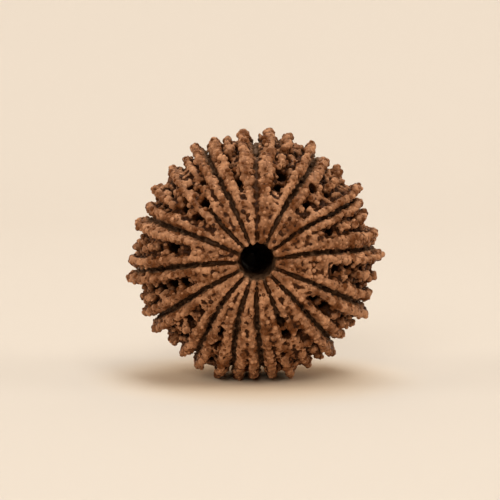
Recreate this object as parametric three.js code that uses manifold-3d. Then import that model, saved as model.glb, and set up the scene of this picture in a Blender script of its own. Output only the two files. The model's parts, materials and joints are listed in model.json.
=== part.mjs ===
// A rudraksha seed: the hard, rough stone of one fruit, standing on its rim.
//
// The stone is one grown piece, so it is one mesh. A canal runs through it from face to face.
// Fifteen narrow grooves run over the stone from one mouth of the canal to the other. Between
// two grooves lies a lobe. A lobe leaves the mouth as one solid wedge, and then opens into two
// knobbly crests beside its grooves, with a pitted net of bridges between them.
//
// Millimetres, +Z up. The canal runs along Y, and the wide mouth looks towards -Y.
// The origin lies on the ground, under the middle of the stone.

import * as THREE from "three";
import { mergeVertices } from "three/addons/utils/BufferGeometryUtils.js";
import Module from "manifold-3d";

// Driving sizes of the stone.
const MEAN_REACH = 13.1; // from the canal's axis to the smooth outline, at the rim
const HALF_LENGTH = 10.65; // from the middle of the stone to a face
const ROUNDNESS = 2.3; // exponent of the outline seen from the side: 2 is an ellipse
const AXIS_HEIGHT = 13.55; // from the ground to the canal's axis
const MOUTH_RADIUS = 2.15; // where the crests turn over into the canal

// Each row is one lobe, going round from +X towards +Z: the angle of the groove before it,
// near the mouths and at the rim, how far the knobs of its two crests reach at the rim, and
// how far from the canal's axis the pits of its net lie on the front face.
const LOBES = [
  { mouth: 8.0, rim: 4.3, reach: [13.5, 12.95], pits: [9.4, 11.4] },
  { mouth: 35.5, rim: 30.0, reach: [13.5, 13.1], pits: [8.2, 10.8] },
  { mouth: 63.5, rim: 59.0, reach: [13.75, 13.7], pits: [8.5, 10.2, 12.2] },
  { mouth: 90.5, rim: 90.5, reach: [13.65, 13.5], pits: [9.3, 11.3] },
  { mouth: 113.0, rim: 115.5, reach: [13.8, 13.45], pits: [10.8] },
  { mouth: 134.5, rim: 131.5, reach: [13.45, 13.2], pits: [8.0, 10.0, 12.0] },
  { mouth: 157.5, rim: 160.3, reach: [13.65, 14.1], pits: [9.7, 11.3] },
  { mouth: 183.0, rim: 186.7, reach: [14.25, 13.9], pits: [8.3, 9.9, 11.5] },
  { mouth: 208.0, rim: 211.4, reach: [13.95, 13.7], pits: [8.0, 10.1] },
  { mouth: 229.5, rim: 237.0, reach: [14.0, 14.35], pits: [9.0, 10.4] },
  { mouth: 251.0, rim: 256.5, reach: [14.1, 14.05], pits: [11.8] },
  { mouth: 269.0, rim: 272.8, reach: [14.05, 14.3], pits: [9.0, 11.0] },
  { mouth: 291.0, rim: 290.4, reach: [14.0, 13.8], pits: [9.4, 11.6] },
  { mouth: 314.0, rim: 311.8, reach: [13.2, 13.75], pits: [8.0, 9.6, 11.6] },
  { mouth: 338.5, rim: 335.8, reach: [13.5, 13.75], pits: [9.0, 10.6, 12.0] },
];
const TURNS_OUT = { from: 3.5, to: 12.5 }; // where a groove swings from its mouth to its rim angle

// Relief of the surface. Depths lie under the smooth outline, along its normal.
const GROOVE = { halfWidth: 0.36, atMouth: 0.35, atRim: 2.3, full: 11.5 };
const CREST = {
  width: 0.8,
  innerShare: 0.24, // at the most, of the lobe's width, from the groove to the crest
  outerShare: 0.35, // at the most, of the lobe's width, from the groove to the crest's far side
  shoulder: 0.3, // how much lower the side beside the groove lies
  sideKnob: 0.6, // of a knob's height, on that side
  underReach: 0.28, // how far its own line lies under the reach of its knobs
  knobAtMouth: 0.1,
  knobAtRim: 0.5,
  bulge: 0.14, // how much wider a crest is at a knob
};
const KNOBS = { height: [0.5, 1.3], second: [0.3, 0.8], dip: [-0.15, -0.6], doubled: 0.25 };
const NET = {
  starts: 5.2, // from the canal's axis
  full: 8.0,
  pit: 1.2,
  bridge: -0.1, // some bridges stand up as spurs
  flank: 0.85, // of the depth of the middle
  reach: 0.55, // half the length of a pit
  open: 0.7, // how open a pit is, at the least
  closed: 0.3, // how open a bridge is, at the most
  bridged: 0.7, // how often a bridge follows a pit past the rim
  lean: 0.3, // how far a pit and its bridges lean to a side
  roughness: 0.12,
};

// The canal, from the narrow back mouth to the wide front one. Its waist lies off the axis.
const CANAL = [
  { y: 10.2, radius: 1.15, x: 0.9, z: 0.6 },
  { y: 8.2, radius: 0.85, x: 0.9, z: 0.5 },
  { y: 4.0, radius: 0.72, x: -0.9, z: -0.9 },
  { y: -1.5, radius: 1.6, x: -0.1, z: -0.2 },
  { y: -7.6, radius: 1.8, x: 0, z: 0 },
  { y: -9.9, radius: 1.88, x: 0, z: 0 },
];
const RIDGE_END = 0.22; // how much further in the crests' ends stand than the grooves, in a mouth

// Mesh density.
const SURFACE_ROWS = 22; // steps from mouth to mouth over the outside
const COLUMNS = 8; // per lobe: groove, crest (2), flank, middle, flank, crest (2)

const SEED = 20; // of every random draw

const wasm = await Module();
wasm.setup();

const lerp = THREE.MathUtils.lerp;
const blend = (x, low, high) => THREE.MathUtils.smoothstep(x, low, high);

// A repeatable stream of numbers from 0 to 1.
function randomStream(seed) {
  let state = seed >>> 0;
  return () => {
    state = (state + 0x6d2b79f5) >>> 0;
    let t = Math.imul(state ^ (state >>> 15), 1 | state);
    t = (t + Math.imul(t ^ (t >>> 7), 61 | t)) ^ t;
    return ((t ^ (t >>> 14)) >>> 0) / 4294967296;
  };
}

// A point of the smooth outline and its outward normal, for an angle from the front pole and
// a reach at the rim. out is the distance from the axis, and y lies along it.
function outline(angle, reach) {
  const power = 2 / ROUNDNESS;
  const sine = Math.sin(angle);
  const cosine = Math.cos(angle);
  const side = -Math.sign(cosine);
  const out = reach * sine ** power;
  const y = side * HALF_LENGTH * Math.abs(cosine) ** power;
  const normal = new THREE.Vector2(
    sine ** (2 - power) / reach,
    (side * Math.abs(cosine) ** (2 - power)) / HALF_LENGTH,
  ).normalize();
  return { out, y, normal };
}

// Angles from the front mouth to the back one, evenly spaced along the outline.
function evenAngles(steps) {
  const fine = 2000;
  const first = Math.asin((MOUTH_RADIUS / MEAN_REACH) ** (ROUNDNESS / 2));
  const angles = [];
  const lengths = [];
  let before = null;
  for (let i = 0; i <= fine; i++) {
    const angle = lerp(first, Math.PI - first, i / fine);
    const here = outline(angle, MEAN_REACH);
    const step = before ? Math.hypot(here.out - before.out, here.y - before.y) : 0;
    angles.push(angle);
    lengths.push((lengths[i - 1] ?? 0) + step);
    before = here;
  }
  return Array.from({ length: steps + 1 }, (_, row) => {
    const wanted = (lengths[fine] * row) / steps;
    return angles[lengths.findIndex((length) => length >= wanted - 1e-9)];
  });
}

// Random knobs along one crest, one height for each row: each knob is followed by a dip.
function crestKnobs(random) {
  const heights = [];
  while (heights.length <= SURFACE_ROWS) {
    heights.push(lerp(...KNOBS.height, random()));
    if (random() < KNOBS.doubled) heights.push(lerp(...KNOBS.second, random()));
    heights.push(lerp(...KNOBS.dip, random()));
  }
  return heights;
}

// How open the net of one lobe is at each row, from 0 on a bridge to 1 in a pit. On the front
// face its pits are given, and past the rim they come at random.
function netPits(lobe, rows, random) {
  const open = rows.map(() => 0);
  rows.forEach(({ out, y }, row) => {
    const known = lobe.pits.some((pit) => Math.abs(out - pit) < NET.reach);
    const given = y < 0 && out < Math.max(...lobe.pits) + 2 * NET.reach;
    const afterPit = open[row - 1] > NET.closed;
    if (given) open[row] = known ? 1 : NET.closed * random();
    else if (afterPit && random() < NET.bridged) open[row] = NET.closed * random();
    else open[row] = lerp(NET.open, 1, random());
  });
  return open;
}

// The eight columns of one lobe at one row: where each lies across the lobe, in millimetres
// from its first groove, how deep it lies under the outline, and which crest's reach it takes.
function lobeSection(relief, row, out, width, random) {
  const grooveDepth = lerp(GROOVE.atMouth, GROOVE.atRim, blend(out, MOUTH_RADIUS, GROOVE.full));
  const shoulder = CREST.shoulder * blend(out, MOUTH_RADIUS, GROOVE.full);
  const open = blend(out, NET.starts, NET.full);
  const knob = lerp(CREST.knobAtMouth, CREST.knobAtRim, blend(out, NET.starts, GROOVE.full));
  const inner = Math.min(GROOVE.halfWidth + 0.2, CREST.innerShare * width);
  const outer = Math.min(inner + CREST.width, CREST.outerShare * width);
  const netDepth = open * lerp(NET.bridge, NET.pit, relief.net[row]);
  const lean = NET.lean * relief.lean[row] * open;
  const rough = () => NET.roughness * (random() - 0.5);
  const crest = [0, 1].map((side) => {
    const height = relief.crest[side][row];
    const swell = CREST.bulge * open * Math.max(0, height);
    return {
      top: -knob * height + rough(),
      side: shoulder - CREST.sideKnob * knob * height + rough(),
      near: inner - swell,
      far: outer + swell,
      flank: lerp(outer, width / 2, 0.5),
    };
  });
  const flank = NET.flank * netDepth;
  return [
    { across: 0, depth: grooveDepth + rough(), crest: null },
    { across: crest[0].near, depth: crest[0].side, crest: 0 },
    { across: crest[0].far, depth: crest[0].top, crest: 0 },
    { across: crest[0].flank + lean, depth: flank + lean + rough(), crest: 0 },
    { across: width / 2 + lean, depth: netDepth + rough(), crest: null },
    { across: width - crest[1].flank + lean, depth: flank - lean + rough(), crest: 1 },
    { across: width - crest[1].far, depth: crest[1].top, crest: 1 },
    { across: width - crest[1].near, depth: crest[1].side, crest: 1 },
  ];
}

// Rings of points over the outside, from the front mouth to the back one.
function outsideRings(random) {
  const angles = evenAngles(SURFACE_ROWS);
  const rows = angles.map((angle) => outline(angle, MEAN_REACH));
  const reliefs = LOBES.map((lobe) => ({
    crest: [crestKnobs(random), crestKnobs(random)],
    net: netPits(lobe, rows, random),
    lean: rows.map(() => 2 * random() - 1),
  }));
  return angles.map((angle, row) => {
    const { out } = rows[row];
    const turned = blend(out, TURNS_OUT.from, TURNS_OUT.to);
    const ring = [];
    LOBES.forEach((lobe, k) => {
      const last = LOBES.at(k - 1);
      const next = LOBES[(k + 1) % LOBES.length];
      const round = k + 1 === LOBES.length ? 360 : 0;
      const start = THREE.MathUtils.degToRad(lerp(lobe.mouth, lobe.rim, turned));
      const end = THREE.MathUtils.degToRad(lerp(next.mouth, next.rim, turned) + round);
      const width = out * (end - start);
      const atGroove = (last.reach[1] + lobe.reach[0]) / 2;
      const atMiddle = (lobe.reach[0] + lobe.reach[1]) / 2;
      for (const column of lobeSection(reliefs[k], row, out, width, random)) {
        const between = column.across === 0 ? atGroove : atMiddle;
        const tips = column.crest === null ? between : lobe.reach[column.crest];
        const at = outline(angle, tips - CREST.underReach);
        const far = at.out - column.depth * at.normal.x;
        const y = at.y - column.depth * at.normal.y;
        const azimuth = start + (column.across / width) * (end - start);
        ring.push(new THREE.Vector3(far * Math.cos(azimuth), y, far * Math.sin(azimuth)));
      }
    });
    return ring;
  });
}

// Rings of points down the canal, from the back mouth to the front one.
function canalRings(outside) {
  const mouthRing = outside[0];
  return CANAL.map((stop, i) => {
    const inMouth = i === 0 || i === CANAL.length - 1;
    return mouthRing.map((point, index) => {
      const azimuth = Math.atan2(point.z, point.x);
      const groove = index % COLUMNS === 0 ? 1 : 0;
      const radius = stop.radius + (inMouth ? RIDGE_END * groove : 0);
      return new THREE.Vector3(
        stop.x + radius * Math.cos(azimuth),
        stop.y,
        stop.z + radius * Math.sin(azimuth),
      );
    });
  });
}

// One closed surface through the rings, which follow each other round the stone's section.
function skinOf(rings) {
  const around = rings[0].length;
  const position = rings.flat().flatMap((point) => point.toArray());
  const index = [];
  const corner = (ring, column) =>
    (ring % rings.length) * around + (column % around);
  const point = (ring, column) => rings[ring % rings.length][column % around];
  for (let r = 0; r < rings.length; r++) {
    for (let c = 0; c < around; c++) {
      const [a, b] = [corner(r, c), corner(r, c + 1)];
      const [d, e] = [corner(r + 1, c), corner(r + 1, c + 1)];
      const falling = point(r, c).distanceTo(point(r + 1, c + 1));
      const rising = point(r, c + 1).distanceTo(point(r + 1, c));
      if (falling < rising) index.push(a, e, b, a, d, e);
      else index.push(a, d, b, b, d, e);
    }
  }
  const geometry = new THREE.BufferGeometry();
  geometry.setAttribute("position", new THREE.Float32BufferAttribute(position, 3));
  geometry.setIndex(index);
  return geometry;
}

function solidOf(geometry) {
  const plain = geometry.clone();
  plain.deleteAttribute("normal");
  plain.deleteAttribute("uv");
  const merged = mergeVertices(plain);
  return new wasm.Manifold(
    new wasm.Mesh({
      numProp: 3,
      vertProperties: merged.attributes.position.array,
      triVerts: new Uint32Array(merged.index.array),
    }),
  );
}

function geometryOf(solid) {
  const mesh = solid.getMesh();
  const geometry = new THREE.BufferGeometry();
  geometry.setAttribute("position", new THREE.BufferAttribute(mesh.vertProperties, 3));
  geometry.setIndex(new THREE.BufferAttribute(mesh.triVerts, 1));
  return geometry;
}

// The whole stone, with the knobs that it stands on worn flat at the ground.
function stone() {
  const random = randomStream(SEED);
  const outside = outsideRings(random);
  const skin = skinOf([...outside, ...canalRings(outside)]);
  skin.translate(0, 0, AXIS_HEIGHT);
  const ground = new THREE.BoxGeometry(60, 60, 10).translate(0, 0, -5);
  const geometry = geometryOf(solidOf(skin).subtract(solidOf(ground)));
  geometry.computeBoundingBox();
  const middle = geometry.boundingBox.getCenter(new THREE.Vector3());
  geometry.translate(-middle.x, -middle.y, 0);
  geometry.computeVertexNormals();
  return geometry;
}

const shell = new THREE.MeshStandardMaterial({
  color: 0x96663f,
  roughness: 0.85,
  metalness: 0,
  flatShading: true,
});

const seed = new THREE.Mesh(stone(), shell);
seed.name = "seed";

const rudraksha = new THREE.Group();
rudraksha.add(seed);

export default rudraksha;
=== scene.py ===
# A rudraksha seed standing on its rim: the fine surface of the stone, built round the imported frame.
import json

import bpy
import numpy as np
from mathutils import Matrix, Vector
from mathutils.kdtree import KDTree

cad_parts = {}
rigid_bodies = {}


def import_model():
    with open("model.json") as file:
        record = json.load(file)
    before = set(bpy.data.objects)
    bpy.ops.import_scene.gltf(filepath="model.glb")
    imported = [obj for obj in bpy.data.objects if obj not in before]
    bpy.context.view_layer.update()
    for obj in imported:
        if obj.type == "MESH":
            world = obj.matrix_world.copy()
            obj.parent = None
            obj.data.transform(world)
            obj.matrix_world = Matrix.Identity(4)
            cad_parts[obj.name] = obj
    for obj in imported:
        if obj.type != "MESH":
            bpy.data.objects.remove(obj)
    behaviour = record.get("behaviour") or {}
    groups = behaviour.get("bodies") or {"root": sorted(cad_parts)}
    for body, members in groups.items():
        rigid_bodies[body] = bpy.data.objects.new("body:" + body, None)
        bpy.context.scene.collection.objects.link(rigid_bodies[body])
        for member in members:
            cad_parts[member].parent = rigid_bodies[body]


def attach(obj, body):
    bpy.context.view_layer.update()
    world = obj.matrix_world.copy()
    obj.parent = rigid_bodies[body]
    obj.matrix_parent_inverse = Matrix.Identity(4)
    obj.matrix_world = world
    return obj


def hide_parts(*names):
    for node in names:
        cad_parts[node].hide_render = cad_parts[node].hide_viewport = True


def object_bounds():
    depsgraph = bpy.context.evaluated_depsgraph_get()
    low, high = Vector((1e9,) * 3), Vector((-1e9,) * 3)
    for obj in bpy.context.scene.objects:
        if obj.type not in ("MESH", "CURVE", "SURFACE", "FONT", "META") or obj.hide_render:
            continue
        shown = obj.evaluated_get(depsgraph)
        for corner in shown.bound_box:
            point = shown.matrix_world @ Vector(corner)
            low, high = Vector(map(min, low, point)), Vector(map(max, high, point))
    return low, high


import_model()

cad_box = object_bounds()

# The stone. It is one hard, woody shell that grew as one piece round a canal. Its form is worked
# out here in millimetres: a smooth outline, narrow grooves from mouth to mouth, and a lobe
# between each two grooves, which opens from one wedge into crests, spurs and a pitted net.
millimetre = 0.001
half_length = 10.55  # from the middle of the stone to a face, along the canal
roundness = 2.3  # of the outline seen from the side: 2 is an ellipse
mean_reach = 13.5  # from the canal's axis to the crests, at the rim
knob_stands = 0.17  # how far the crests' knobs stand past the line that they sit on
axis_height = 13.48  # from the ground to the canal's axis
mouth_radius = 1.95  # where the crests turn over into the canal
top_groove = 3  # it is shallow and wide, and a notch at the rim
closed_grooves = (5, 12)  # the net closes over their outer part on the front face
random = np.random.default_rng(15)

# One row for each lobe, from +X towards +Z: the angle of the groove before it near the mouths
# and at the rim, how far from the axis its net begins, and the angle and reach of each ridge
# at the rim. The first and last ridge of a lobe are its crests, and any between are spurs.
lobes = [
    (8.0, 4.3, 7.4, [(10.5, 13.4), (20.5, 13.0), (26.8, 12.85)]),
    (35.5, 30.0, 6.6, [(33.2, 13.45), (45.6, 13.15), (54.0, 12.9)]),
    (63.5, 59.0, 6.8, [(63.3, 13.7), (75.9, 13.55), (83.5, 13.7)]),
    (90.5, 90.5, 6.8, [(96.6, 13.6), (104.3, 13.2), (110.5, 13.5)]),
    (113.0, 116.0, 7.8, [(120.0, 13.75), (126.5, 13.1)]),
    (134.5, 130.2, 5.6, [(135.0, 13.4), (146.6, 13.7), (156.0, 13.1)]),
    (157.5, 160.3, 7.0, [(165.3, 13.7), (174.9, 13.5), (182.6, 14.1)]),
    (183.0, 186.7, 6.6, [(190.6, 14.3), (201.0, 13.5), (207.3, 13.95)]),
    (208.0, 211.4, 7.0, [(215.8, 14.05), (226.0, 13.6), (233.4, 13.85)]),
    (229.5, 237.7, 7.4, [(242.0, 14.0), (252.4, 14.2)]),
    (251.0, 257.0, 9.4, [(261.3, 13.75), (268.6, 13.65)]),
    (269.0, 272.8, 8.8, [(277.2, 13.65), (285.8, 14.0)]),
    (291.0, 290.4, 8.0, [(295.0, 13.6), (301.5, 13.5), (307.4, 13.85)]),
    (314.0, 311.8, 6.5, [(316.4, 13.1), (323.0, 13.1), (331.3, 13.85)]),
    (338.5, 335.8, 7.6, [(340.2, 13.4), (350.0, 13.4), (359.8, 13.8)]),
]
count = len(lobes)
groove_at_mouth = np.radians([lobe[0] for lobe in lobes])
groove_at_rim = np.radians([lobe[1] for lobe in lobes])
net_begins = np.array([lobe[2] for lobe in lobes])
ridge_angles = np.array([ridge[0] for lobe in lobes for ridge in lobe[3]]) % 360
ridge_reaches = np.array([ridge[1] for lobe in lobes for ridge in lobe[3]])
crest_out_at_rim = np.array(
    [
        [np.radians(lobe[3][0][0] - lobe[1]) * mean_reach for lobe in lobes],
        [
            np.radians((lobes[(k + 1) % count][1] - lobe[3][-1][0]) % 360) * mean_reach
            for k, lobe in enumerate(lobes)
        ],
    ]
)  # across, from a lobe's two grooves to its two crests

# The pits that show on the front face: angle, distance from the canal's axis, and radius.
front_pits = [
    (21.0, 9.0, 0.5), (24.5, 11.1, 0.5), (43.0, 11.0, 0.6), (51.5, 10.2, 0.55),
    (48.0, 8.4, 0.6), (50.0, 7.3, 0.45), (73.0, 8.2, 0.55), (74.0, 9.6, 0.7),
    (75.5, 11.6, 0.6), (103.5, 8.9, 0.5), (105.0, 10.7, 0.55), (132.5, 8.4, 0.55),
    (125.5, 10.3, 0.4), (133.5, 10.6, 0.5), (144.5, 9.4, 0.6), (145.0, 7.7, 0.5),
    (171.5, 9.3, 0.75), (173.5, 10.6, 0.5), (197.0, 8.0, 0.6), (196.5, 9.4, 0.65),
    (198.0, 10.9, 0.7), (222.5, 9.5, 0.65), (221.5, 7.7, 0.4), (244.0, 9.8, 0.6),
    (243.5, 8.6, 0.45), (285.0, 10.4, 0.5), (291.0, 8.5, 0.55), (291.5, 6.9, 0.65),
    (299.5, 9.0, 0.5), (326.0, 9.1, 0.65), (326.5, 7.6, 0.55), (353.5, 8.6, 0.7),
    (356.5, 10.0, 0.5), (350.5, 10.8, 0.55),
]


def blend(x, low, high):
    """From 0 at low to 1 at high, smoothly."""
    t = np.clip((x - low) / (high - low), 0, 1)
    return t * t * (3 - 2 * t)


def mix(a, b, t):
    return a + (b - a) * t


def outline(pole_angle, reach):
    """The smooth outline: out from the canal's axis, along it, and the normal's two parts."""
    power = 2 / roundness
    sine, cosine = np.sin(pole_angle), np.cos(pole_angle)
    side = -np.sign(cosine)
    out = reach * sine**power
    along = side * half_length * np.abs(cosine) ** power
    normal_out = sine ** (2 - power) / reach
    normal_along = side * np.abs(cosine) ** (2 - power) / half_length
    length = np.hypot(normal_out, normal_along)
    return out, along, normal_out / length, normal_along / length


def crest_level(turn):
    """How far out the line lies that the crests' knobs sit on, at the rim, at this turn."""
    reach = np.interp(np.degrees(turn) % 360, ridge_angles[order], ridge_reaches[order], period=360)
    return reach - knob_stands


def place(turn, pole_angle, depth):
    """The point this deep under the outline."""
    out, along, normal_out, normal_along = outline(pole_angle, crest_level(turn))
    far = out - depth * normal_out
    return np.stack([far * np.cos(turn), along - depth * normal_along, far * np.sin(turn)], -1)


def groove_turn(which, out):
    """The turn at which a groove runs, this far out from the axis."""
    which = which % count
    swing = (groove_at_rim - groove_at_mouth + np.pi) % (2 * np.pi) - np.pi
    return groove_at_mouth[which] + swing[which] * blend(out, 3.5, 12.5)


def across(turn, out):
    """Which lobe a place is on, how far it lies from the groove before, and how wide the lobe is."""
    turns = np.stack([(turn - groove_turn(k, out)) % (2 * np.pi) for k in range(count)])
    lobe = np.argmin(turns, 0)
    gap = (groove_turn(lobe + 1, out) - groove_turn(lobe, out)) % (2 * np.pi)
    return lobe, np.min(turns, 0) * out, gap * out


def crest_offset(lobe, side, out, width):
    """How far the middle of a crest lies from its groove."""
    return np.minimum(mix(0.38, crest_out_at_rim[side, lobe], blend(out, 2.5, 11.5)), 0.4 * width)


order = np.argsort(ridge_angles)
mouth_angle = np.arcsin((mouth_radius / mean_reach) ** (roundness / 2))
step_angles = np.linspace(mouth_angle, np.pi - mouth_angle, 4000)
step_out, step_along = outline(step_angles, mean_reach)[:2]
step_length = np.concatenate([[0], np.cumsum(np.hypot(np.diff(step_out), np.diff(step_along)))])
whole_length = step_length[-1]  # from mouth to mouth over the outside


def pole_angle_at(length):
    return np.interp(length, step_length, step_angles)


def out_at(length):
    return np.interp(length, step_length, step_out)


def pole_angle_of(out):
    return np.arcsin((out / mean_reach) ** (roundness / 2))


def closed_over(which, out, on_front):
    """1 where a groove is closed over by the net on the front face, and 0 elsewhere."""
    at_net = blend(out, 6.6, 7.6) * (1 - blend(out, 12.0, 13.0))
    return at_net * on_front * np.isin(which % count, closed_grooves)


def shallowed(which, out):
    """The share of its depth that a groove keeps: the top one is shallow, but not at the rim."""
    return 1 - 0.45 * (which == top_groove) * (1 - blend(out, 10.5, 12.0))


def nearest_groove(lobe, before, width):
    """The groove nearer to a place on a lobe, and how far off it is."""
    return np.where(before < width - before, lobe, lobe + 1) % count, np.minimum(before, width - before)


def apart(points, spacing):
    """The numbers of the points, taken in turn, that keep this far from all taken before."""
    tree = KDTree(len(points))
    for i, point in enumerate(points):
        tree.insert(point, i)
    tree.balance()
    free = np.ones(len(points), bool)
    taken = []
    for i, point in enumerate(points):
        if free[i]:
            taken.append(i)
            for _, other, _ in tree.find_range(point, spacing):
                free[other] = False
    return np.array(taken)


def past_crest(turn, out):
    """How far inside the line of the nearer crest a place lies, and in which lobe."""
    lobe, before, width = across(turn, out)
    first = before - crest_offset(lobe, 0, out, width)
    second = width - before - crest_offset(lobe, 1, out, width)
    return np.minimum(first, second), lobe


# The pits of the sides and the back are strewn over the net, none too near another.
tried = 6000
pit_spacing = 1.35
length = random.uniform(0, whole_length, tried)
turn = random.uniform(0, 2 * np.pi, tried)
out = out_at(length)
inward, lobe = past_crest(turn, out)
is_given = (length < 0.5 * whole_length) & (out < 11.4)
good = ~is_given & (out > net_begins[lobe] + 0.4) & (inward > 0.55)
given = np.array(front_pits)
pit_turn = np.concatenate([np.radians(given[:, 0]), turn[good]])
pit_angle = np.concatenate([pole_angle_of(given[:, 1]), pole_angle_at(length[good])])
pit_radius = np.concatenate([given[:, 2], random.uniform(0.36, 0.6, good.sum())])
pit_point = place(pit_turn, pit_angle, 0)
kept = apart(pit_point, pit_spacing)
pit_point, pit_radius = pit_point[kept], pit_radius[kept]


def pit_gap(points):
    """How far each point lies from the middle of the nearest pit, and that pit's radius."""
    tree = KDTree(len(pit_point))
    for i, point in enumerate(pit_point):
        tree.insert(point, i)
    tree.balance()
    found = [tree.find(point)[1:] for point in points]
    which = np.array([number for number, _ in found])
    return np.array([distance for _, distance in found]), pit_radius[which]


# The body under the knobs is a torus in its form, so it starts as one, and each of its points
# is put where it belongs: over the outside from mouth to mouth, and back through the canal.
bpy.ops.object.select_all(action="DESELECT")
ring, tube = 8.0, 5.0
bpy.ops.mesh.primitive_torus_add(
    major_segments=200, minor_segments=90, major_radius=ring, minor_radius=tube
)
body = bpy.context.object
bpy.ops.object.mode_set(mode="EDIT")
bpy.ops.mesh.select_all(action="SELECT")
bpy.ops.mesh.subdivide(number_cuts=3)
bpy.ops.object.mode_set(mode="OBJECT")
plain = np.empty(len(body.data.vertices) * 3, np.float32)
body.data.vertices.foreach_get("co", plain)
plain = plain.reshape(-1, 3).astype(float)
turn = np.arctan2(plain[:, 1], plain[:, 0])
round_tube = np.arctan2(plain[:, 2], np.hypot(plain[:, 0], plain[:, 1]) - ring)
way = (round_tube / (2 * np.pi)) % 1  # once round the torus's tube
outer_share = 0.83
length = whole_length * np.minimum(way / outer_share, 1)
angle, out = pole_angle_at(length), out_at(length)
lobe, before, width = across(turn, out)
nearest, edge = nearest_groove(lobe, before, width)
on_front = length < 0.5 * whole_length

groove_half = mix(0.16, 0.25, blend(out, 2.5, 9)) + 0.1 * (nearest == top_groove) * blend(out, 4, 12)
groove_half += 0.5 * (nearest == top_groove) * blend(out, 11, 13)
groove_deep_at = (1.1, 2.5)  # at the mouths, and farther out
groove_deep = mix(*groove_deep_at, blend(out, 2.0, 9.5))
groove_deep *= 1 - 0.75 * closed_over(nearest, out, on_front)
groove_deep *= shallowed(nearest, out)
groove = groove_deep * (1 - blend(edge, 0.3 * groove_half, 2.0 * groove_half))

inward = past_crest(turn, out)[0]
netted = blend(out, net_begins[lobe] - 0.6, net_begins[lobe] + 0.9)
wedge_floor, net_floor, net_floor_at_rim = 0.12, 1.05, 1.75
floor = mix(wedge_floor, mix(net_floor, net_floor_at_rim, blend(out, 10.5, 12.8)), netted)
top = mix(0.25, floor, blend(inward, 0.05, 0.6))
slope = mix(0.5, 1.0, blend(out, 3, 10)) * (1 - blend(edge, 0.2, 0.6 + 0.5 * blend(out, 5, 12)))
top = np.maximum(top, slope)
gap, radius = pit_gap(place(turn, angle, 0))
pit_deep = 2.6
pitted = pit_deep * (1 - blend(gap, 0.7 * radius, 1.3 * radius))
depth = np.maximum(np.maximum(groove, top), pitted)
outside = place(turn, angle, depth)

# The canal narrows and bends on its way: along, radius, and the middle's place aside and up.
canal = np.array(
    [
        (9.9, 1.2, 0.9, 0.6),
        (8.0, 0.9, 0.9, 0.5),
        (4.0, 0.72, -0.9, -0.9),
        (-1.5, 1.6, -0.1, -0.2),
        (-7.6, 1.75, 0.0, 0.0),
        (-9.7, 1.82, 0.0, 0.0),
    ]
)
step = np.clip((way - outer_share) / (1 - outer_share), 0, 1) * (len(canal) - 1)
along, bore, aside, up = (np.interp(step, range(len(canal)), canal[:, i]) for i in range(4))
bore = bore + 0.05 * np.sin(5 * turn + along) + 0.04 * np.sin(11 * turn - 2 * along)
at_mouth = blend(np.abs(along), 7.0, 9.6)
_, past_groove = nearest_groove(*across(turn, np.full_like(turn, 2.0)))
bore = bore + 0.34 * at_mouth * (1 - blend(past_groove, 0.04, 0.3))
inside = np.stack([aside + bore * np.cos(turn), along, up + bore * np.sin(turn)], -1)
shaped = np.where(way[:, None] <= outer_share, outside, inside)
body.data.vertices.foreach_set("co", shaped.astype(np.float32).ravel())

# The knobs. Each is a rounded lump, given by its turn and pole angle, how deep its middle
# lies under the outline, and its radius.
lump_turn, lump_angle, lump_depth, lump_radius = [], [], [], []


def lump(turn, pole_angle, depth, radius):
    lump_turn.append(turn)
    lump_angle.append(pole_angle)
    lump_depth.append(depth)
    lump_radius.append(radius)


# Both crests of each lobe are strings of knobs, small at the mouths and large at the rim.
for number in range(count):
    for side in (0, 1):
        length = random.uniform(0, 0.3)
        while length < whole_length:
            out = out_at(length)
            rim = float(blend(out, 3.0, 11.5))
            radius = mix(0.2, 0.45, rim) * random.uniform(0.8, 1.2)
            start, end = groove_turn(number, out), groove_turn(number + 1, out)
            offset = crest_offset(number, side, out, (end - start) % (2 * np.pi) * out)
            offset += (0.03 + 0.06 * rim) * random.uniform(-1, 1)
            turn = start + offset / out if side == 0 else end - offset / out
            depth = 0.92 * radius + mix(0.02, 0.17, rim) * random.uniform(-1, 1)
            lump(turn, pole_angle_at(length), depth, radius)
            length += radius * random.uniform(1.25, mix(1.4, 2.0, rim))

# Spurs stand between the crests at the rim.
for row in lobes:
    for spur_angle, _ in row[3][1:-1]:
        length = 0.27 * whole_length
        while length < 0.73 * whole_length:
            radius = random.uniform(0.36, 0.52)
            turn = np.radians(spur_angle) + random.uniform(-0.025, 0.025)
            if random.random() < 0.75:
                for level in range(3):
                    lump(turn, pole_angle_at(length), (0.9 + level) * radius, radius)
            length += radius * random.uniform(1.7, 3.4)

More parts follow.
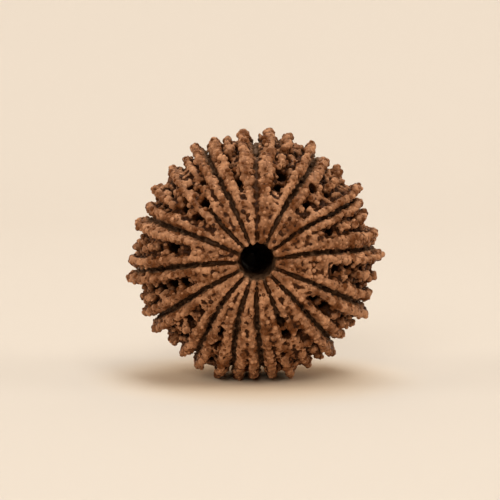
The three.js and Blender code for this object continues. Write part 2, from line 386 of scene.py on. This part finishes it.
# Small lumps line both edges of each groove, and lie strewn along its floor and walls. A row
# gives how far aside it runs, in half widths, which share of the depth it lies at, from least
# to most, and how far out from the axis it begins. The edges' rows follow the edge instead.
floor_row = (0, 0.6, 1.0, 2.8)
wall_rows = [(-1, 0.25, 0.8, 4.5), (1, 0.25, 0.8, 4.5)]
edge_rows = [(-1.5, 0, 0, 5.2), (1.5, 0, 0, 5.2)]
for number in range(count):
    on_top = number == top_groove
    for aside_by, least, most, begins in (floor_row, *wall_rows, *edge_rows):
        length = random.uniform(0, 0.3)
        while length < whole_length:
            out = out_at(length)
            outer = float(blend(out, 2.5, 9.5))
            half = mix(0.2, 0.29, outer) + 0.2 * on_top * float(blend(out, 10, 13))
            if aside_by == 0:
                radius = random.uniform(0.15, 0.27) + 0.07 * on_top
            elif most:
                radius = mix(0.13, 0.21, outer) * random.uniform(0.8, 1.2)
            else:
                radius = mix(0.15, 0.28, outer) * random.uniform(0.8, 1.2)
            whole_deep = mix(*groove_deep_at, float(blend(out, 2.0, 9.5)))
            whole_deep *= float(shallowed(number, out))
            deep = whole_deep * random.uniform(least, most)
            if not most:
                at_edge = mix(0.2, 0.5, outer) + (1.0 if on_top else 0.45) * float(blend(out, 11, 13))
                deep = at_edge * random.uniform(0.7, 1.3) + 0.4 * radius
            across_by = aside_by * (half + 0.09) + 0.09 * random.uniform(-1, 1)
            if out > begins:
                lump(groove_turn(number, out) + across_by / out, pole_angle_at(length), deep, radius)
            length += radius * random.uniform(1.5, 2.5)

# Small lumps cover all that lies between. They stand level on the wedges and sunk in the net.
tried = 60000
lump_spacing = 0.42
length = random.uniform(0, whole_length, tried)
turn = random.uniform(0, 2 * np.pi, tried)
fair = random.random(tried) < out_at(length) / mean_reach
length, turn = length[fair], turn[fair]
kept = apart(place(turn, pole_angle_at(length), 0), lump_spacing)
length, turn = length[kept], turn[kept]
angle, out = pole_angle_at(length), out_at(length)
inward, lobe = past_crest(turn, out)
nearest, edge = nearest_groove(*across(turn, out))
netted = blend(out, net_begins[lobe] - 0.6, net_begins[lobe] + 0.9)
size = random.uniform(0.24, 0.38, len(turn))
least_sunk = mix(0.4, 0.85, blend(out, 10.5, 12.5))
netted_sunk = mix(least_sunk, least_sunk + 0.75, random.random(len(turn)))
sunk = mix(random.uniform(0.03, 0.17, len(turn)), netted_sunk, netted)
by_crest = inward < 0.2
depth = np.where(by_crest, size + random.uniform(-0.04, 0.12, len(turn)), sunk + 0.4 * size)
size = np.where(by_crest, 0.8 * size, size)
bridged = closed_over(nearest, out, length < 0.5 * whole_length) > 0.5
depth = np.where(bridged & (edge < 0.6), random.uniform(0.35, 0.8, len(turn)), depth)
for i in np.flatnonzero((edge > 0.5 + 0.35 * blend(out, 5, 12)) | bridged):
    lump(turn[i], angle[i], depth[i], size[i])

# Every lump is one modelled ball, stretched a little out of round. Those over a pit are left
# out, and the rest are grown together with the body by a fine remesh.
bpy.ops.object.select_all(action="DESELECT")
bpy.ops.mesh.primitive_ico_sphere_add(subdivisions=2, radius=1)
ball = bpy.context.object
ball_points = np.array([vertex.co for vertex in ball.data.vertices])
ball_faces = np.array([face.vertices for face in ball.data.polygons])
bpy.ops.object.delete()
gap, radius = pit_gap(place(np.array(lump_turn), np.array(lump_angle), 0))
clear = gap > 0.85 * radius + 0.3 * np.array(lump_radius)
middles = place(*(np.array(values)[clear] for values in (lump_turn, lump_angle, lump_depth)))
sizes = np.array(lump_radius)[clear, None] * random.uniform(0.86, 1.15, (len(middles), 3))
points = middles[:, None] + ball_points[None] * sizes[:, None]
faces = ball_faces[None] + (np.arange(len(middles)) * len(ball_points))[:, None, None]
knobs_mesh = bpy.data.meshes.new("knobs")
knobs_mesh.from_pydata(points.reshape(-1, 3), [], faces.reshape(-1, 3))
knobs = bpy.data.objects.new("knobs", knobs_mesh)
bpy.context.collection.objects.link(knobs)

bpy.ops.object.select_all(action="DESELECT")
knobs.select_set(True)
body.select_set(True)
bpy.context.view_layer.objects.active = body
bpy.ops.object.join()
stone = bpy.context.object
stone.name = "stone"

bpy.ops.object.modifier_add(type="REMESH")
remesh = stone.modifiers[-1]
remesh.mode = "VOXEL"
remesh.voxel_size = 0.14
remesh.use_smooth_shade = True
bpy.ops.object.modifier_apply(modifier=remesh.name)

bpy.ops.object.modifier_add(type="SMOOTH")
soften = stone.modifiers[-1]
soften.factor = 0.5
soften.iterations = 1
bpy.ops.object.modifier_apply(modifier=soften.name)

# What lies loose is taken out: all that isn't joined to the point nearest to the axis, which
# is on the wall of the canal.
co = np.empty(len(stone.data.vertices) * 3, np.float32)
stone.data.vertices.foreach_get("co", co)
co = co.reshape(-1, 3)
bpy.ops.object.mode_set(mode="EDIT")
bpy.ops.mesh.select_mode(type="VERT")
bpy.ops.mesh.select_all(action="DESELECT")
bpy.ops.object.mode_set(mode="OBJECT")
stone.data.vertices[int(np.hypot(co[:, 0], co[:, 2]).argmin())].select = True
bpy.ops.object.mode_set(mode="EDIT")
bpy.ops.mesh.select_linked()
bpy.ops.mesh.select_all(action="INVERT")
bpy.ops.mesh.delete(type="VERT")
bpy.ops.object.mode_set(mode="OBJECT")

most_triangles = 197000
bpy.ops.object.modifier_add(type="DECIMATE")
thin = stone.modifiers[-1]
thin.ratio = min(1, most_triangles / (2 * len(stone.data.polygons)))
thin.use_collapse_triangulate = True
bpy.ops.object.modifier_apply(modifier=thin.name)

# The worn knobs stand flat on the ground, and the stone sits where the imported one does.
co = np.empty(len(stone.data.vertices) * 3, np.float32)
stone.data.vertices.foreach_get("co", co)
co = co.reshape(-1, 3).astype(float)
cad_low, cad_high = (np.array(corner) / millimetre for corner in cad_box)
axis_at = (cad_low + cad_high) / 2 - (co.min(0) + co.max(0)) / 2
axis_at[2] = axis_height
co = np.clip(co + axis_at, cad_low, cad_high)
stone.data.vertices.foreach_set("co", (co * millimetre).astype(np.float32).ravel())
stone.data.update()

# The finish, with its painted shade and painted highlight, follows the form: how deep each point
# lies under the outline, how far it is from a groove, and how hollow the surface is there, in small
# (crease) and at large (hollow).
middle = co - axis_at
out = np.hypot(middle[:, 0], middle[:, 2])
turn = np.arctan2(middle[:, 2], middle[:, 0])
out_share, along_share = out / crest_level(turn), np.abs(middle[:, 1]) / half_length
share = (out_share**roundness + along_share**roundness) ** (1 / roundness)
under = (1 / share - 1) * np.hypot(out, middle[:, 1])
nearest, edge = nearest_groove(*across(turn, np.maximum(out, 0.5)))
edge = edge + closed_over(nearest, out, middle[:, 1] < 0)
normals = np.empty(len(co) * 3, np.float32)
stone.data.vertices.foreach_get("normal", normals)
normals = normals.reshape(-1, 3)
ends = np.empty(len(stone.data.edges) * 2, np.int32)
stone.data.edges.foreach_get("vertices", ends)
first, second = ends.reshape(-1, 2).T
degree = np.bincount(ends, minlength=len(co))


def smooth_out(points, steps):
    """Each point moved to the mean of its neighbours, this many times."""
    for _ in range(steps):
        columns = []
        for i in range(3):
            from_second = np.bincount(first, points[second, i], len(points))
            from_first = np.bincount(second, points[first, i], len(points))
            columns.append((from_second + from_first) / degree)
        points = np.stack(columns, -1)
    return points


slightly = smooth_out(co, 5)
widely = smooth_out(slightly, 60)
crease = ((slightly - co) * normals).sum(1)
hollow = ((widely - co) * normals).sum(1)


def keep_values(mesh, **values):
    """Stores a number for each point of a mesh, under each name."""
    for name, numbers in values.items():
        attribute = mesh.attributes.new(name, "FLOAT", "POINT")
        attribute.data.foreach_set("value", numbers.astype(np.float32))


keep_values(stone.data, under=under, crease=crease, hollow=hollow, groove=edge, tone=np.full(len(co), 0.5))

# The shell's finish: warm brown on the crests and a greyish brown on the grooves' floors. On it
# are painted highlight in tan on top of the knobs, painted shade in dark brown in the creases
# and hollows, and painted shade near black in the pits and tiny pores. It is dry and lumpy, with grains.
highlight_tan_colour = (0.475, 0.228, 0.112)
crest_colour = (0.128, 0.039, 0.009)
hollow_shade_colour = (0.053, 0.0135, 0.002)
crease_shade_colour = (0.036, 0.0105, 0.002)
pit_shade_colour = (0.011, 0.0045, 0.0015)
floor_colour = (0.150, 0.078, 0.040)
patch_size, grain_size, pore_spacing, pore_patch_size = 1.6, 0.3, 0.55, 0.9
shell = bpy.data.materials.new("shell")
shell.use_nodes = True
tree = shell.node_tree


def value_of(tree, name):
    node = tree.nodes.new("ShaderNodeAttribute")
    node.attribute_name = name
    return node.outputs["Fac"]


def ramp(tree, source, low, high, start=0.0, end=1.0):
    """From start, where the source is low, to end, where it is high, smoothly."""
    node = tree.nodes.new("ShaderNodeMapRange")
    node.interpolation_type = "SMOOTHSTEP"
    for socket, number in zip(node.inputs[1:5], (low, high, start, end)):
        socket.default_value = number
    tree.links.new(source, node.inputs[0])
    return node.outputs[0]


def maths(tree, operation, a, b):
    node = tree.nodes.new("ShaderNodeMath")
    node.operation = operation
    for socket, given in zip(node.inputs, (a, b)):
        if isinstance(given, float):
            socket.default_value = given
        else:
            tree.links.new(given, socket)
    return node.outputs[0]


def colours(tree, factor, a, b, blending="MIX"):
    node = tree.nodes.new("ShaderNodeMix")
    node.data_type = "RGBA"
    node.blend_type = blending
    if isinstance(factor, float):
        node.inputs[0].default_value = factor
    else:
        tree.links.new(factor, node.inputs[0])
    for socket, given in zip(node.inputs[6:8], (a, b)):
        if isinstance(given, tuple):
            socket.default_value = (*given, 1)
        else:
            tree.links.new(given, socket)
    return node.outputs[2]


def on_object(tree, kind, size):
    """A procedural pattern of this size in millimetres, on the object's own coordinates."""
    node = tree.nodes.new(kind)
    node.inputs["Scale"].default_value = 1 / (size * millimetre)
    coordinates = tree.nodes.new("ShaderNodeTexCoord").outputs["Object"]
    tree.links.new(coordinates, node.inputs["Vector"])
    return node


def noise(tree, size, detail):
    node = on_object(tree, "ShaderNodeTexNoise", size)
    node.inputs["Detail"].default_value = detail
    return node.outputs["Fac"]


patches = noise(tree, patch_size, 3)
grains = noise(tree, grain_size, 3)
each_bead = maths(tree, "MULTIPLY", value_of(tree, "tone"), 0.3)
tinted = maths(tree, "ADD", maths(tree, "MULTIPLY", patches, 0.7), each_bead)
# Painted highlight: tan on the tops of the knobs, where the surface bulges, in random patches.
highlight_tops_mask = ramp(tree, value_of(tree, "crease"), 0.04, -0.02)
on_top = maths(tree, "MULTIPLY", ramp(tree, tinted, 0.35, 0.65), highlight_tops_mask)
lit = colours(tree, on_top, crest_colour, highlight_tan_colour)
# Painted shade: dark brown in the wide hollows.
shaded = colours(tree, ramp(tree, value_of(tree, "hollow"), -0.25, 0.2), lit, hollow_shade_colour)

by_groove = ramp(tree, value_of(tree, "groove"), 0.6, 0.3)
sunk_in = ramp(tree, value_of(tree, "under"), 0.4, 1.0)
in_groove = maths(tree, "MULTIPLY", by_groove, sunk_in)
grooved = colours(tree, in_groove, shaded, floor_colour)
# Painted shade: dark brown in the small creases, less of it on the grooves' floors.
less_in_groove = ramp(tree, in_groove, 0.0, 1.0, 1.0, 0.6)
crease_shade_mask = maths(tree, "MULTIPLY", ramp(tree, value_of(tree, "crease"), 0.0, 0.08), less_in_groove)
crease_shaded = colours(tree, crease_shade_mask, grooved, crease_shade_colour)
# Painted shade: near black in the pits, darker the deeper under the outline, away from the grooves.
pit_shade_mask = ramp(tree, value_of(tree, "under"), 0.8, 1.9)
off_groove = ramp(tree, value_of(tree, "groove"), 0.35, 0.6)
pitted = colours(tree, maths(tree, "MULTIPLY", pit_shade_mask, off_groove), crease_shaded, pit_shade_colour)

grain_shade = ramp(tree, grains, 0.3, 0.7, 0.75, 1.15)
grey = tree.nodes.new("ShaderNodeCombineColor")
for socket in grey.inputs[:3]:
    tree.links.new(grain_shade, socket)
grained = colours(tree, 1.0, pitted, grey.outputs[0], "MULTIPLY")
# The tiny pores are painted near black, here and there, as painted shade in their holes.
pore_cells = on_object(tree, "ShaderNodeTexVoronoi", pore_spacing).outputs["Distance"]
here_and_there = ramp(tree, noise(tree, pore_patch_size, 1), 0.45, 0.55)
pores = maths(tree, "MULTIPLY", ramp(tree, pore_cells, 0.09, 0.16, 1, 0), here_and_there)
pored = colours(tree, pores, grained, pit_shade_colour)

bump = tree.nodes.new("ShaderNodeBump")
bump.inputs["Strength"].default_value = 0.6
bump.inputs["Distance"].default_value = 0.1 * millimetre
tree.links.new(maths(tree, "SUBTRACT", grains, pores), bump.inputs["Height"])
surface = tree.nodes["Principled BSDF"]
surface.inputs["Roughness"].default_value = 0.5
surface.inputs["Specular IOR Level"].default_value = 0.09
tree.links.new(pored, surface.inputs["Base Color"])
tree.links.new(bump.outputs[0], surface.inputs["Normal"])

stone.data.materials.clear()
stone.data.materials.append(shell)
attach(stone, "root")
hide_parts("seed")

# Beads of shell sit close together nearly all over the stone, more than half sunk in it. They
# are the same hard wood, and grew with it. They are pieces of their own, because the stone's
# mesh is thinned to at most 197000 triangles: two for the front face, one for the rim and one for the
# back.
bead_spacing = 0.40
smallest_bead, bead_range = 0.16, 0.2  # the radius, and how much larger it may be
least_deep_sunk, most_deep_sunk = 0.4, 0.7  # of the radius
most_beads = 5500  # in one piece
rim_half = 5.0  # how far the rim's beads reach to each side, along the canal
bpy.ops.object.select_all(action="DESELECT")
bpy.ops.mesh.primitive_uv_sphere_add(segments=6, ring_count=4, radius=1)
bead = bpy.context.object
bead_points = np.array([vertex.co for vertex in bead.data.vertices])
bead_faces = [tuple(face.vertices) for face in bead.data.polygons]
bpy.ops.object.delete()
per_bead = len(bead_points)

shuffled = random.permutation(len(co))
wanted = (under[shuffled] < 1.5) | (edge[shuffled] < 0.45)
wanted &= (out[shuffled] > 2.2) & (under[shuffled] < 3.0)
wanted &= (out[shuffled] > 6.0) | (edge[shuffled] > 0.15) | (under[shuffled] > 0.7)
shuffled = shuffled[wanted]
beaded = shuffled[apart(co[shuffled], bead_spacing)]
along_it, up_it = middle[beaded, 1], middle[beaded, 2]
is_front, is_back = along_it < -rim_half, along_it >= rim_half
for piece_name, chosen in (
    ("upper_front_beads", is_front & (up_it >= 0)),
    ("lower_front_beads", is_front & (up_it < 0)),
    ("rim_beads", ~is_front & ~is_back),
    ("back_beads", is_back),
):
    here = beaded[chosen][:most_beads]
    radius = smallest_bead + bead_range * random.random(len(here)) ** 1.5
    radius *= mix(0.55, 1.0, blend(edge[here], 0.1, 0.5))
    outwards = normals[here].astype(float)
    first_side = np.cross(outwards, random.normal(size=(len(here), 3)))
    first_side /= np.linalg.norm(first_side, axis=1)[:, None]
    second_side = np.cross(outwards, first_side)
    stretch = radius[:, None] * random.uniform(0.85, 1.15, (len(here), 3))
    sunk_by = radius * random.uniform(least_deep_sunk, most_deep_sunk, len(here))
    centre = co[here] - outwards * sunk_by[:, None]
    made = centre[:, None] + sum(
        bead_points[None, :, i, None] * stretch[:, None, i, None] * axis[:, None]
        for i, axis in enumerate((first_side, second_side, outwards))
    )
    made = np.clip(made, cad_low, cad_high)
    made_faces = [tuple(n + i * per_bead for n in face) for i in range(len(here)) for face in bead_faces]
    piece_mesh = bpy.data.meshes.new(piece_name)
    piece_mesh.from_pydata(made.reshape(-1, 3) * millimetre, [], made_faces)
    piece = bpy.data.objects.new(piece_name, piece_mesh)
    bpy.context.collection.objects.link(piece)
    for polygon in piece_mesh.polygons:
        polygon.use_smooth = True
    # Painted shade: each bead is darker towards its foot, where it meets the stone.
    foot_shade = 0.11 * (1 - bead_points[:, 2])
    keep_values(
        piece_mesh,
        under=np.repeat(under[here], per_bead),
        crease=(crease[here][:, None] + foot_shade[None]).ravel(),
        hollow=np.repeat(hollow[here], per_bead),
        groove=np.repeat(edge[here], per_bead),
        tone=np.repeat(random.random(len(here)), per_bead),
    )
    piece_mesh.materials.append(shell)
    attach(piece, "root")
    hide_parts("seed")

# The ground and the backdrop behind it are one pale sweep of paper, bent up far behind the
# stone. Close round the stone its colour is warmer, for the brown light that the stone throws.
paper_size, bend_radius, bend_steps, wall_height = 4.0, 0.6, 12, 1.5
paper_colour = (0.635, 0.562, 0.483)
warm_colour = (0.76, 0.60, 0.43)
bpy.ops.object.select_all(action="DESELECT")
bpy.ops.mesh.primitive_plane_add(size=paper_size, location=(0, -1.7, 0))
paper = bpy.context.object
paper.name = "paper"
bpy.ops.object.transform_apply(location=True)
bpy.ops.object.mode_set(mode="EDIT")
bpy.ops.mesh.select_all(action="DESELECT")
bpy.ops.object.mode_set(mode="OBJECT")
for paper_edge in paper.data.edges:
    paper_edge.select = all(paper.data.vertices[v].co.y > 0 for v in paper_edge.vertices)
bpy.ops.object.mode_set(mode="EDIT")
for step in range(bend_steps):
    from_angle, to_angle = (np.radians(90 * (step + k) / bend_steps) for k in (0, 1))
    back = bend_radius * (np.sin(to_angle) - np.sin(from_angle))
    rise = bend_radius * (np.cos(from_angle) - np.cos(to_angle))
    bpy.ops.mesh.extrude_region_move(TRANSFORM_OT_translate={"value": (0, back, rise)})
bpy.ops.mesh.extrude_region_move(TRANSFORM_OT_translate={"value": (0, 0, wall_height)})
bpy.ops.object.mode_set(mode="OBJECT")
bpy.ops.object.shade_smooth()
pale = bpy.data.materials.new("pale paper")
pale.use_nodes = True
tree = pale.node_tree
far_off = tree.nodes.new("ShaderNodeVectorMath")
far_off.operation = "LENGTH"
tree.links.new(tree.nodes.new("ShaderNodeTexCoord").outputs["Object"], far_off.inputs[0])
away = ramp(tree, far_off.outputs["Value"], 6 * millimetre, 20 * millimetre)
surface = tree.nodes["Principled BSDF"]
surface.inputs["Roughness"].default_value = 0.9
surface.inputs["Specular IOR Level"].default_value = 0.0
tree.links.new(colours(tree, away, warm_colour, paper_colour), surface.inputs["Base Color"])
paper.data.materials.append(pale)

# Soft studio light: a wide softbox overhead, a weak one in front, one low on each side, and
# light all round from warm walls. Each has its place, width and depth, power and tint.
softboxes = [
    ((0.1, 0.05, 2.7), 7.0, 1.2, 103, (0.95, 1.0, 1.02)),
    ((-0.5, -2.2, 1.2), 1.6, 1.2, 24, (1.0, 1.0, 0.98)),
    ((-2.6, -0.35, 1.1), 1.2, 1.0, 17, (1.0, 0.98, 0.94)),
    ((2.6, -0.35, 1.1), 1.2, 1.0, 17, (1.0, 0.98, 0.94)),
]
light_aim = Vector((0, 0, 0.013))
for light_place, light_width, light_depth, power, tint in softboxes:
    bpy.ops.object.light_add(type="AREA", location=light_place)
    softbox = bpy.context.object
    softbox.data.shape = "ELLIPSE"
    softbox.data.size = light_width
    softbox.data.size_y = light_depth
    softbox.data.energy = power
    softbox.data.color = tint
    softbox.rotation_euler = (light_aim - softbox.location).to_track_quat("-Z", "Y").to_euler()
wall_light, wall_strength = (1.0, 0.75, 0.52, 1), 0.31
world = bpy.data.worlds.new("studio")
bpy.context.scene.world = world
world.use_nodes = True
world.node_tree.nodes["Background"].inputs["Color"].default_value = wall_light
world.node_tree.nodes["Background"].inputs["Strength"].default_value = wall_strength
bpy.context.scene.view_settings.view_transform = "Standard"

# The camera looks a little down at the stone, along its canal, with a long lens.
look_at = Vector((-0.00054, 0, 0.01387))
elevation = np.radians(4.3)
camera_distance = 0.1507
bpy.ops.object.camera_add()
camera = bpy.context.object
camera.data.lens = 100
camera.data.sensor_width = 36
camera.data.clip_start = 0.01
camera.location = look_at + camera_distance * Vector((0, -np.cos(elevation), np.sin(elevation)))
camera.rotation_euler = (look_at - camera.location).to_track_quat("-Z", "Y").to_euler()
bpy.context.scene.camera = camera
